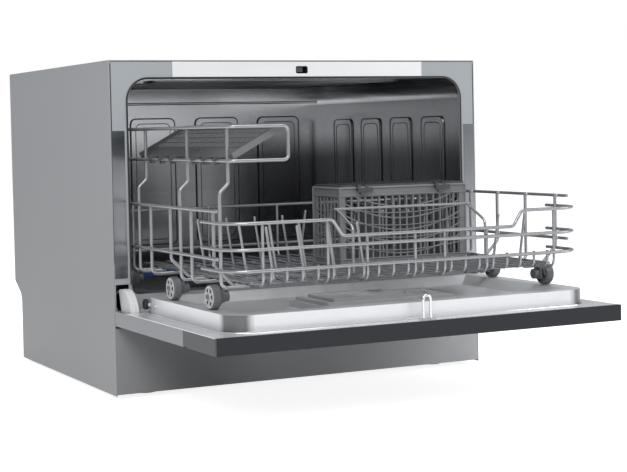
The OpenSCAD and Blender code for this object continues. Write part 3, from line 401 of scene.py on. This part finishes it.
wall_rib_y, wall_rib_z, wall_rib_w, wall_rib_h = (75, 170, 265, 360), 263.7, 62, 190
back_rib_x, back_rib_z, back_rib_w, back_rib_h = (-165, -55, 55, 165), 265.7, 74, 200
ceiling_rib_y, ceiling_rib_w, ceiling_rib_h = (90, 180, 270, 360), 380, 42
back_y, ceiling_z = 430.6, 411.6
bm = bmesh.new()
for s in (-1, 1):
    for y in wall_rib_y:
        for grow, depth, thick in ((0, 248.6, 0.0011), (-16, 248.55, 0.0007)):
            outline = rib_outline(wall_rib_w + grow, wall_rib_h + grow)
            add_pipe(bm, [at_front(s * depth, y + u, wall_rib_z + v) for u, v in outline], thick, 6, True)
for x in back_rib_x:
    for grow, thick in ((0, 0.0011), (-16, 0.0007)):
        outline = rib_outline(back_rib_w + grow, back_rib_h + grow)
        add_pipe(bm, [at_front(x + u, back_y, back_rib_z + v) for u, v in outline], thick, 6, True)
for y in ceiling_rib_y:
    outline = rib_outline(ceiling_rib_w, ceiling_rib_h)
    add_pipe(bm, [at_front(u, y + v, ceiling_z) for u, v in outline], 0.0011, 6, True)
for z in (388, 390.5):
    add_pipe(bm, [at_front(-238, 430.8, z), at_front(238, 430.8, z)], 0.0008, 6)
# Painted shade: dark lines along the edges of the ribs and across the back under the ceiling.
rib_shadow = finish("rib_shadow", (0.10, 0.102, 0.105), 0.3, 1.0, bump=0.05, scale=300)
make("rib_shade_lines", bm, rib_shadow, "cabinet")

# ---- screws of the rear panel ----
# Pan-head steel screws with a cross recess hold the rear panel to the wrap: three along its top, and two
# more down each side, all driven from behind.


def add_lathe(bm, centre, axis, profile, sides=24):
    """Turned shape: (radius, height) pairs along the axis from the centre."""
    axis = axis.normalized()
    side = axis.orthogonal().normalized()
    third = axis.cross(side)
    rings = []
    for radius, height in profile:
        mid = centre + axis * height
        if radius < 1e-7:
            rings.append([bm.verts.new(mid)])
        else:
            rings.append([
                bm.verts.new(mid + (side * math.cos(t) + third * math.sin(t)) * radius)
                for t in [2 * math.pi * k / sides for k in range(sides)]
            ])
    for low, high in zip(rings, rings[1:]):
        for k in range(sides):
            after = k + 1
            quad = [ring[i % len(ring)] for ring, i in ((low, k), (low, after), (high, after), (high, k))]
            face = [v for i, v in enumerate(quad) if v not in quad[:i]]
            if len(face) > 2:
                bm.faces.new(face)


def add_screw(bm, centre, axis, d=0.0062):
    """Domed head with a cross cut into it."""
    r = d / 2
    dome = ((1, 0), (1, 0.25), (0.86, 0.55), (0.45, 0.74), (0.42, 0.45), (0, 0.40))
    add_lathe(bm, centre, axis, [(u * r, v * r) for u, v in dome], 16)
    side = axis.orthogonal().normalized()
    for k in range(2):
        along = Matrix.Rotation(math.pi / 2 * k + 0.4, 3, axis) @ side
        across = axis.cross(along)
        base = centre + axis * (0.60 * r)
        corners = [
            base + along * (u * 0.62 * r) + across * (v * 0.13 * r)
            for u, v in ((-1, -1), (1, -1), (1, 1), (-1, 1))
        ]
        add_prism(bm, corners, axis * (0.19 * r))


screw_steel = finish("screw_steel", (0.50, 0.51, 0.52), 0.3, 1.0, bump=0.1, scale=400)
panel_y = 462
screw_at = ((-262, 420), (0, 420), (262, 420), (-262, 140), (262, 140), (-262, 280), (262, 280))
bm = bmesh.new()
for x, z in screw_at:
    add_screw(bm, at_front(x, panel_y, z), Vector((0, 1, 0)), 0.0075)
make("cabinet_screws", bm, screw_steel, "cabinet")

# ---- back of the cabinet ----
# Threaded water inlet and barbed drain outlet, both moulded, the black gland of the mains cable, and a folded
# edge round the vents, where the pumps' cooling air leaves.
white_plastic = finish("white_plastic", (0.55, 0.56, 0.56), 0.4, bump=0.1, scale=500, spread=0.02)
mould_grey = finish("mould_grey", (0.10, 0.104, 0.11), 0.42, bump=0.2, scale=700)
wear(white_plastic, "inlet_valve")
wear(mould_grey, "drain_spigot")
wear(black_plastic, "cable_gland")
port_z = 62
thread = [(0.0128, 0), (0.0136, 0.0006), (0.0136, 0.0010), (0.0128, 0.0016)]
barb = [(0.0088, 0), (0.0100, 0.0006), (0.0088, 0.0050)]
bm = bmesh.new()
for k in range(7):
    add_lathe(bm, at_front(170, 433 + 2.3 * k, port_z), Vector((0, 1, 0)), thread, 32)
make("inlet_thread", bm, white_plastic, "cabinet")
bm = bmesh.new()
for k in range(3):
    add_lathe(bm, at_front(-130, 437 + 6 * k, port_z), Vector((0, 1, 0)), barb, 28)
make("drain_barbs", bm, mould_grey, "cabinet")
bm = bmesh.new()
for x in range(-150, 151, 12):
    for z in (180, 205, 230):
        rim = [at_front(x + u, 463.9, z + 9 + v) for u, v in ((-1.6, -9), (1.6, -9), (1.6, 9), (-1.6, 9))]
        add_pipe(bm, rim, 0.0005, 6, True)
for z in (150, 262):
    add_pipe(bm, [at_front(-200, 463.6, z), at_front(200, 463.6, z)], 0.0012, 8)
make("vent_edges", bm, cabinet_look, "cabinet")

# ---- wash system ----
# Sump, filter cup, riser and float are grey mouldings under the tub, and the spray arm is blue. The filter
# holds a woven mesh. Both pumps are black, the water box is white, and the control board is green laminate.
wear(mould_grey, "sump", "filter_cup", "arm_riser", "float_tube", "float_cap")
wear(black_plastic, "circulation_pump", "drain_pump")
wear(white_plastic, "water_box")
wear(finish("spray_blue", (0.03, 0.07, 0.32), 0.35, bump=0.1, scale=500), "spray_arm")
wear(finish("board", (0.02, 0.12, 0.05), 0.5, bump=0.2, scale=500), "control_board")
mesh_look = finish("filter_mesh", (0.35, 0.36, 0.37), 0.4, 1.0, bump=0.3, scale=700)
bm = bmesh.new()
well_y, mesh_r, mesh_foot, mesh_count = 313, 26.6, 84, 40
for k in range(mesh_count):
    t = 2 * math.pi * k / mesh_count
    p = at_front(mesh_r * math.cos(t), well_y + mesh_r * math.sin(t), mesh_foot)
    add_pipe(bm, [p, p + Vector((0, 0, 0.030))], 0.0004, 5)
make("filter_weave", bm, mesh_look, "filter")

# ---- hinges and their covers ----
# Zinc-plated brackets and coil springs carry the door. A pale moulded quarter shell hides each hinge, and its
# rounded lip is polished by the door's swing.
wear(finish("zinc", (0.55, 0.56, 0.57), 0.4, 1.0, bump=0.2, scale=300), "hinge_brackets", "door_springs")
wear(white_plastic, "hinge_arms")
cover_x, cover_y, cover_z, cover_r = 262.5, -8.5, 108.5, 34.2
lip_edges = (257.6, 267.4)
bm = bmesh.new()
for s in (-1, 1):
    outer = [
        at_front(s * cover_x, cover_y - cover_r * math.cos(t), cover_z + cover_r * math.sin(t))
        for t in [math.radians(10 + 6 * k) for k in range(20)]
    ]
    add_pipe(bm, outer, 0.0011, 8)
    for x in lip_edges:
        add_pipe(bm, [Vector((s * x / 1000, p.y, p.z)) for p in outer], 0.0008, 8)
make("hinge_cover_lips", bm, white_plastic, "door")

# ---- outside of the door ----
# The outer panel is painted sheet, the control panel and the edge trim are dark mouldings clipped to its tip.
# They hold three black buttons in bright rings, a display window, a row of small lamps and a bright grip lip.
door_look = finish("door_paint", (0.22, 0.228, 0.238), 0.42, bump=0.12, scale=900, spread=0.03)
panel_look = finish("panel_grey", (0.066, 0.068, 0.072), 0.45, bump=0.15, scale=900, gloss=0.25)
edge_look = finish("charcoal", (0.012, 0.014, 0.017), 0.45, bump=0.15, scale=900, gloss=0.28)
wear(door_look, "door_panel")
wear(panel_look, "control_panel")
wear(edge_look, "door_edge_trim", "display_window")
wear(black_plastic, "power_button", "program_button", "start_button")
bead_steel = finish("bead_steel", (0.86, 0.87, 0.88), 0.16, 1.0, bump=0.05, scale=300)
button_y = -302
ring = [(0.0074, 0), (0.0088, 0), (0.0088, 0.0006), (0.0083, 0.0011), (0.0074, 0.0006), (0.0074, 0)]
lamp = [(0.0016, 0), (0.0016, 0.0003), (0.0010, 0.0007), (0, 0.0008)]
bm = bmesh.new()
for x in (-200, -160, 200):
    add_lathe(bm, at_front(x, button_y, 96.2), Vector((0, 0, -1)), ring, 36)
add_pipe(bm, [at_front(-60, -244.2, 96.4), at_front(60, -244.2, 96.4)], 0.0011, 8)
make("button_rings", bm, bead_steel, "door")
lamp_look = finish("lamp_lens", (0.55, 0.72, 0.60), 0.25, bump=0.05, scale=400, coat=0.4)
bm = bmesh.new()
for x in range(-120, 41, 16):
    add_lathe(bm, at_front(x, button_y, 96.05), Vector((0, 0, -1)), lamp, 14)
make("indicator_lamps", bm, lamp_look, "door")

# ---- stainless liner of the door ----
# The liner is pressed from polished stainless sheet. Its rounded corners carry painted reflection: their
# colour is darkened by the way they face. A row of small spot welds joins it to the door's rim, screws and a
# black guide roller sit on its sides, and the striker is a bent steel loop.
liner_look = finish("liner_steel", (0.66, 0.67, 0.68), 0.30, 0.6, (1, 60, 60), 0.10, 0.08)
# Painted reflection: the colour darkens where the surface turns round a corner, for the dark surroundings it
# mirrors.
tree = liner_look.node_tree
facing = axes(tree, "Normal")
corner = combine(tree, "ABSOLUTE", combine(tree, "MULTIPLY", facing["X"], facing["Y"]))
darken(tree, ramp(tree, corner, 0.02, 0.30, 1, 0.2))
wear(liner_look, "door_liner")
wear(finish("striker_steel", (0.62, 0.63, 0.64), 0.22, 1.0, bump=0.05, scale=300), "striker")
bm = bmesh.new()
for s in (-1, 1):
    for y in (-52, -74):
        add_screw(bm, at_front(s * 247.02, y, 126), Vector((s, 0, 0)), 0.0056)
make("liner_screws", bm, screw_steel, "door")

rim_z, weld_pitch = 116, 5.4
side_weld = [(0.00085, 0), (0.0008, 0.00012), (0.0003, 0.0003), (0, 0.00032)]
pair_weld = [(0.0011, 0), (0.001, 0.0002), (0, 0.0004)]
tip_weld = [(0.0008, 0), (0.0007, 0.0002), (0, 0.0003)]
weld_dark = finish("weld_dark", (0.22, 0.225, 0.23), 0.4, 1.0, bump=0.1, scale=400)
bm = bmesh.new()
for s in (-1, 1):
    for k in range(46):
        add_lathe(bm, at_front(s * 255.5, -60 - weld_pitch * k, rim_z), Vector((0, 0, 1)), side_weld, 8)
for k in list(range(-3, 0)) + list(range(1, 4)):
    x = k * 6 + (22 if k > 0 else -22)
    add_lathe(bm, at_front(x, -325.5, rim_z), Vector((0, 0, 1)), pair_weld, 10)
for k in range(-12, 13):
    if abs(k) > 2:
        add_lathe(bm, at_front(k * 20, -326.5, rim_z), Vector((0, 0, 1)), tip_weld, 8)
make("rim_spot_welds", bm, weld_dark, "door")

bm = bmesh.new()
x0, x1, y0, y1, r = -248.8, 248.8, -310.8, -26, 31.8
loop = []
for cx, cy, start in (
    (x1 - r, y1 - r, 0), (x0 + r, y1 - r, 90), (x0 + r, y0 + r, 180), (x1 - r, y0 + r, 270),
):
    for k in range(9):
        t = math.radians(start + 11.25 * k)
        loop.append(at_front(cx + r * math.cos(t), cy + r * math.sin(t), 116.1))
add_pipe(bm, loop, 0.0009, 8, True)
make("liner_bead", bm, bead_steel, "door")

roller = [
    (0, 0), (0.0062, 0), (0.0068, 0.0006), (0.0068, 0.0042), (0.0062, 0.0048), (0.0030, 0.0048),
    (0.0028, 0.0038), (0, 0.0038),
]
bm = bmesh.new()
for s in (-1, 1):
    add_lathe(bm, at_front(s * 247.1, -46.5, 126.5), Vector((s, 0, 0)), roller, 28)
make("guide_rollers", bm, black_roller_and_gap_shade, "door")

# ---- detergent dispenser ----
# A grey moulding screwed into the liner: a sliding lid with a raised rim and grip bars, a turning rinse-aid
# cap with a knurled edge, and a bead round the body.
disp_look = finish("dark_grey", (0.31, 0.318, 0.326), 0.42, bump=0.2, scale=700)
wear(disp_look, "dispenser_body", "dispenser_lid", "rinse_aid_cap")
cap_x, cap_y, cap_r, knurls = 48, -211, 15.6, 24
cap_rim = [(0.0148, 0), (0.0148, 0.0008), (0.0140, 0.0012), (0.0132, 0.0008), (0.0132, 0)]
bm = bmesh.new()
for k in range(knurls):
    t = 2 * math.pi * k / knurls
    mid = at_front(cap_x + cap_r * math.cos(t), cap_y + cap_r * math.sin(t), 134.1)
    add_pipe(bm, [mid, mid + Vector((0, 0, 0.0022))], 0.0008, 6)
add_lathe(bm, at_front(cap_x, cap_y, 134.0), Vector((0, 0, 1)), cap_rim, 36)
make("cap_knurl", bm, disp_look, "rinse_aid_cap")

bm = bmesh.new()
outline = [(-84.5, -246.5), (-7.5, -246.5), (-7.5, -183.5), (-84.5, -183.5)]
add_pipe(bm, [at_front(x, y, 139.1) for x, y in outline], 0.0006, 6, True)
add_pipe(bm, [at_front(x * 0.82 - 8.2, y * 0.82 - 38.7, 139.1) for x, y in outline], 0.0005, 6, True)
for y in (-232, -224, -216):
    add_pipe(bm, [at_front(-34, y, 139.1), at_front(-16, y, 139.1)], 0.0006, 6)
make("lid_mouldings", bm, disp_look, "dispenser_lid")

bm = bmesh.new()
edge = [(-103, -261), (83, -261), (83, -161), (-103, -161)]
add_pipe(bm, [at_front(x, y, 131.7) for x, y in edge], 0.0008, 8, True)
inner = [(-95.5, -255.5), (77.5, -255.5), (77.5, -166.5), (-95.5, -166.5)]
add_pipe(bm, [at_front(x, y, 135.7) for x, y in inner], 0.0007, 8, True)
for x, y in ((-99.5, -258), (79.5, -258), (-99.5, -164.5), (79.5, -164.5)):
    add_screw(bm, at_front(x, y, 131.7), Vector((0, 0, 1)), 0.0044)
make("dispenser_mouldings", bm, disp_look, "door")

# ---- rack wire ----
# The rack is bent steel wire, welded where it crosses and coated in grey nylon. The welds leave small
# fillets, and the tips of the prongs are rounded by the same dip.


def at_rack(x, y, z):
    """Metres in the part frame from millimetres behind the rack's front rail."""
    return Vector((x / 1000, (y - 367.5) / 1000, z / 1000))


def add_weld(bm, centre, radius, stretch=(1, 1, 1), sides=10, rings=6):
    """Small round fillet of weld metal."""
    place = Matrix.Translation(centre) @ Matrix.Diagonal((*stretch, 1))
    bmesh.ops.create_uvsphere(bm, u_segments=sides, v_segments=rings, radius=radius, matrix=place)


wire_coat = finish("nylon_wire", (0.29, 0.295, 0.305), 0.24, 0.6, bump=0.15, scale=500, spread=0.04, coat=0.2)
wear(
    wire_coat, "rack_floor", "rack_left", "rack_right", "rack_front", "rack_back", "rack_tines",
    "basket_rail", "guard_frame",
)
rail_low, rail_dip, rail_mid, rail_top = 184.0, 219.0, 208.5, 238.5
front_y, back_y, side_x, guard_x, floor_z = 1.9, 394.1, 240.9, -229.9, 166.6
cross_y = (55, 123, 191, 259, 327)
wide, deep = (1.25, 1.0, 1.0), (1.0, 1.25, 1.0)
bm = bmesh.new()
dip_left, dip_right = -106, 144
for x in (-200, -117, -65, 0, 41, 101, 200):
    top = rail_dip if dip_left <= x <= dip_right else rail_top
    for z in (top, rail_mid, rail_low):
        add_weld(bm, at_rack(x, front_y, z), 0.0021, wide)
for x in (-190, -105, 0, 105, 190):
    for z in (rail_top, rail_low):
        add_weld(bm, at_rack(x, back_y, z), 0.0021, wide)
for s in (-1, 1):
    for y in cross_y:
        for z in (197.0, 252.0):
            add_weld(bm, at_rack(s * side_x, y, z), 0.0024, deep)
for y in (35, 158, 302):
    for z in (309.5, 348.5):
        add_weld(bm, at_rack(guard_x, y, z), 0.0024, deep)
for x in range(-190, 191, 20):
    for y in cross_y:
        add_weld(bm, at_rack(x, y, floor_z), 0.0018, sides=8, rings=5)
make("rack_welds", bm, wire_coat, "rack")

# The x of the first prong, the count, the y and the lean of each row
prong_rows = (
    (-170, 4, 40, -9), (-170, 4, 118, -9), (-170, 4, 250, -9), (150, 2, 66, 9), (150, 2, 250, 9),
    (10, 4, 262, 9), (10, 4, 340, 9),
)
prong_pitch, prong_z = 40, 230
bm = bmesh.new()
for x, count, y, lean in prong_rows:
    for k in range(count):
        add_weld(bm, at_rack(x + k * prong_pitch + lean, y, prong_z), 0.00185, sides=12, rings=8)
make("tine_tips", bm, wire_coat, "rack")

# ---- rack wheels ----
# Each wheel is a nylon moulding that turns on a clip under the rack's floor: a pale spoked face clipped
# over a grey tread, with a stepped inner flange on the rack side.
wear(mould_grey, "axle_clips", "wheel_1", "wheel_2", "wheel_3", "wheel_4", "wheel_5", "wheel_6")
wheel_face = finish("wheel_face", (0.46, 0.465, 0.47), 0.38, bump=0.12, scale=700)
wheel_dark = finish("wheel_dark", (0.05, 0.052, 0.055), 0.5, bump=0.12, scale=700)
wheel_x, axle_z, spokes = 232, 150.5, 6
axle_y = (73, 198, 362)
rim_band = [(0.0132, 0.0064), (0.0132, 0.0070), (0.0118, 0.0074), (0.0108, 0.0070), (0.0108, 0.0064)]
hub_boss = [(0.0048, 0.0064), (0.0048, 0.0078), (0.0040, 0.0082), (0.0028, 0.0082), (0.0028, 0.0064)]
outer_web = [(0.0052, 0.0048), (0.0110, 0.0048), (0.0110, 0.0052), (0.0052, 0.0052), (0.0052, 0.0048)]
inner_web = [(0.0056, 0.0032), (0.0084, 0.0032), (0.0084, 0.0036), (0.0056, 0.0036), (0.0056, 0.0032)]
spoke_root, spoke_tip, spoke_half = 0.0044, 0.0111, 0.0011
spoke_seat, spoke_thick = 0.0062, 0.0012
spoke = (
    (spoke_root, -spoke_half * 1.5), (spoke_tip, -spoke_half), (spoke_tip, spoke_half),
    (spoke_root, spoke_half * 1.5),
)
for number in range(6):
    s = -1 if number < 3 else 1
    hub = at_rack(s * wheel_x, axle_y[number % 3], axle_z)
    axis = Vector((s, 0, 0))
    body = "wheel_%d" % (number + 1)
    bm = bmesh.new()
    add_lathe(bm, hub, axis, rim_band, 40)
    add_lathe(bm, hub, axis, hub_boss, 28)
    for k in range(spokes):
        side = Matrix.Rotation(2 * math.pi / spokes * k, 3, axis) @ Vector((0, 0, 1))
        across = axis.cross(side)
        outline = [hub + axis * spoke_seat + side * u + across * v for u, v in spoke]
        add_prism(bm, outline, axis * spoke_thick)
    make("wheel_face_%d" % (number + 1), bm, wheel_face, body)
    bm = bmesh.new()
    add_lathe(bm, hub, axis, outer_web, 40)
    add_lathe(bm, hub, -axis, inner_web, 40)
    make("wheel_web_%d" % (number + 1), bm, wheel_dark, body)

# ---- cup shelf ----
# A folding shelf moulded in smoky plastic: a hatch of fine ribs under the cups, a turned-up rim and
# C-shaped clips that snap on the lower guard rail.
shelf_look = finish("shelf_plastic", (0.055, 0.057, 0.06), 0.33, bump=0.12, scale=600)
basket_look = finish("basket_grey", (0.14, 0.144, 0.15), 0.4, bump=0.2, scale=700)
wear(shelf_look, "cup_shelf")
pivot = at_rack(-232.05, 0, 309.5)
tilt = math.radians(28)
out_dir = Vector((math.cos(tilt), 0, math.sin(tilt)))
off_dir = Vector((-math.sin(tilt), 0, math.cos(tilt)))


def on_shelf(u, y, h):
    """Place on the tilted shelf: out from its hinge, along it, and above its middle plane."""
    return pivot + out_dir * (u / 1000) + off_dir * (h / 1000) + Vector((0, y / 1000, 0))


shelf_front, shelf_back = 23.5, 321
rim_u, rim_h = 76.8, 6.0
rib_pitch, rib_count = 8, 37
clip_y = (56, 90, 124, 196, 232, 268)
bm = bmesh.new()
for k in range(rib_count):
    y = 30 + rib_pitch * k
    add_pipe(bm, [on_shelf(27, y, 1.7), on_shelf(75, y, 1.7)], 0.0006, 6)
for u in (29, 41, 53, 65, 74):
    add_pipe(bm, [on_shelf(u, 24, 1.9), on_shelf(u, 320, 1.9)], 0.0006, 6)
add_pipe(bm, [on_shelf(rim_u, shelf_front, rim_h), on_shelf(rim_u, shelf_back, rim_h)], 0.0010, 8)
add_pipe(bm, [on_shelf(8, 23.4, rim_h), on_shelf(rim_u, 23.4, rim_h)], 0.0010, 8)
for y in clip_y:
    for e in (-3.4, 3.4):
        ring = [
            pivot + Vector((0, (y + e) / 1000, 0)) + (out_dir * math.cos(t) + off_dir * math.sin(t)) * 0.0043
            for t in [math.radians(-150 + 20 * j) for j in range(16)]
        ]
        add_pipe(bm, ring, 0.0006, 6)
make("shelf_ribs", bm, shelf_look, "cup_shelf")

end_plate = ((7, -1.4), (77.6, -1.4), (77.6, 6), (7, 6))
end_y, end_thick = (21.4, 322.25), 0.75
bm = bmesh.new()
for y in end_y:
    add_prism(bm, [on_shelf(u, y, h) for u, h in end_plate], Vector((0, end_thick / 1000, 0)))
make("shelf_end_bands", bm, basket_look, "cup_shelf")

# ---- cutlery basket ----
# Open moulding with a rounded rim and corner posts; fine bars between them keep forks from falling through,
# and the lid's two clips are darker.
wear(basket_look, "cutlery_basket")
bx, by, bz = -34, 131, 170.0
basket_w, basket_d, corner = 184, 76, 2
bar_z = (bz + 24, bz + 40, bz + 56, bz + 72)
bm = bmesh.new()
rim = []
for cx, cy, start in (
    (bx + basket_w - corner, by + basket_d - corner, 0), (bx + corner, by + basket_d - corner, 90),
    (bx + corner, by + corner, 180), (bx + basket_w - corner, by + corner, 270),
):
    for k in range(5):
        t = math.radians(start + 22.5 * k)
        rim.append((cx + 2.2 * math.cos(t), cy + 2.2 * math.sin(t)))
for z, r in ((bz + 98.2, 0.0013), (bz + 88.5, 0.0009), (bz + 8.5, 0.0009), (bz + 1.2, 0.0013)):
    add_pipe(bm, [at_rack(x, y, z) for x, y in rim], r, 8, True)
for x in (bx, bx + basket_w):
    for y in (by, by + basket_d):
        add_pipe(bm, [at_rack(x, y, bz + 1.2), at_rack(x, y, bz + 98)], 0.0013, 8)
for y in (by - 0.3, by + basket_d + 0.3):
    for z in bar_z:
        bar = [at_rack(bx + 4 + 8.8 * k, y, z - 7 * math.sin(math.pi * k / 20)) for k in range(21)]
        add_pipe(bm, bar, 0.0007, 6)
for x in (bx - 0.3, bx + basket_w + 0.3):
    for z in bar_z:
        bar = [at_rack(x, by + 4 + 6.8 * k, z - 3 * math.sin(math.pi * k / 10)) for k in range(11)]
        add_pipe(bm, bar, 0.0007, 6)
make("basket_mouldings", bm, basket_look, "basket")

clip_look = finish("clip_dark", (0.04, 0.042, 0.045), 0.4, bump=0.15, scale=600)
bm = bmesh.new()
for x in (28, 142):
    add_slab(bm, at_rack(bx + x - 5, by - 5.9, bz + 93), at_rack(bx + x + 16, by - 5.3, bz + 99), 0.0002)
make("basket_clips", bm, clip_look, "basket")

wear(clip_look, "basket_grid")
bm = bmesh.new()
for x in range(9, 170, 13):
    bar_x = bx + x - 1.6
    add_pipe(bm, [at_rack(bar_x, by + 2, bz + 102.3), at_rack(bar_x, by + 74, bz + 102.3)], 0.0006, 6)
make("grid_ribs", bm, clip_look, "basket_grid")
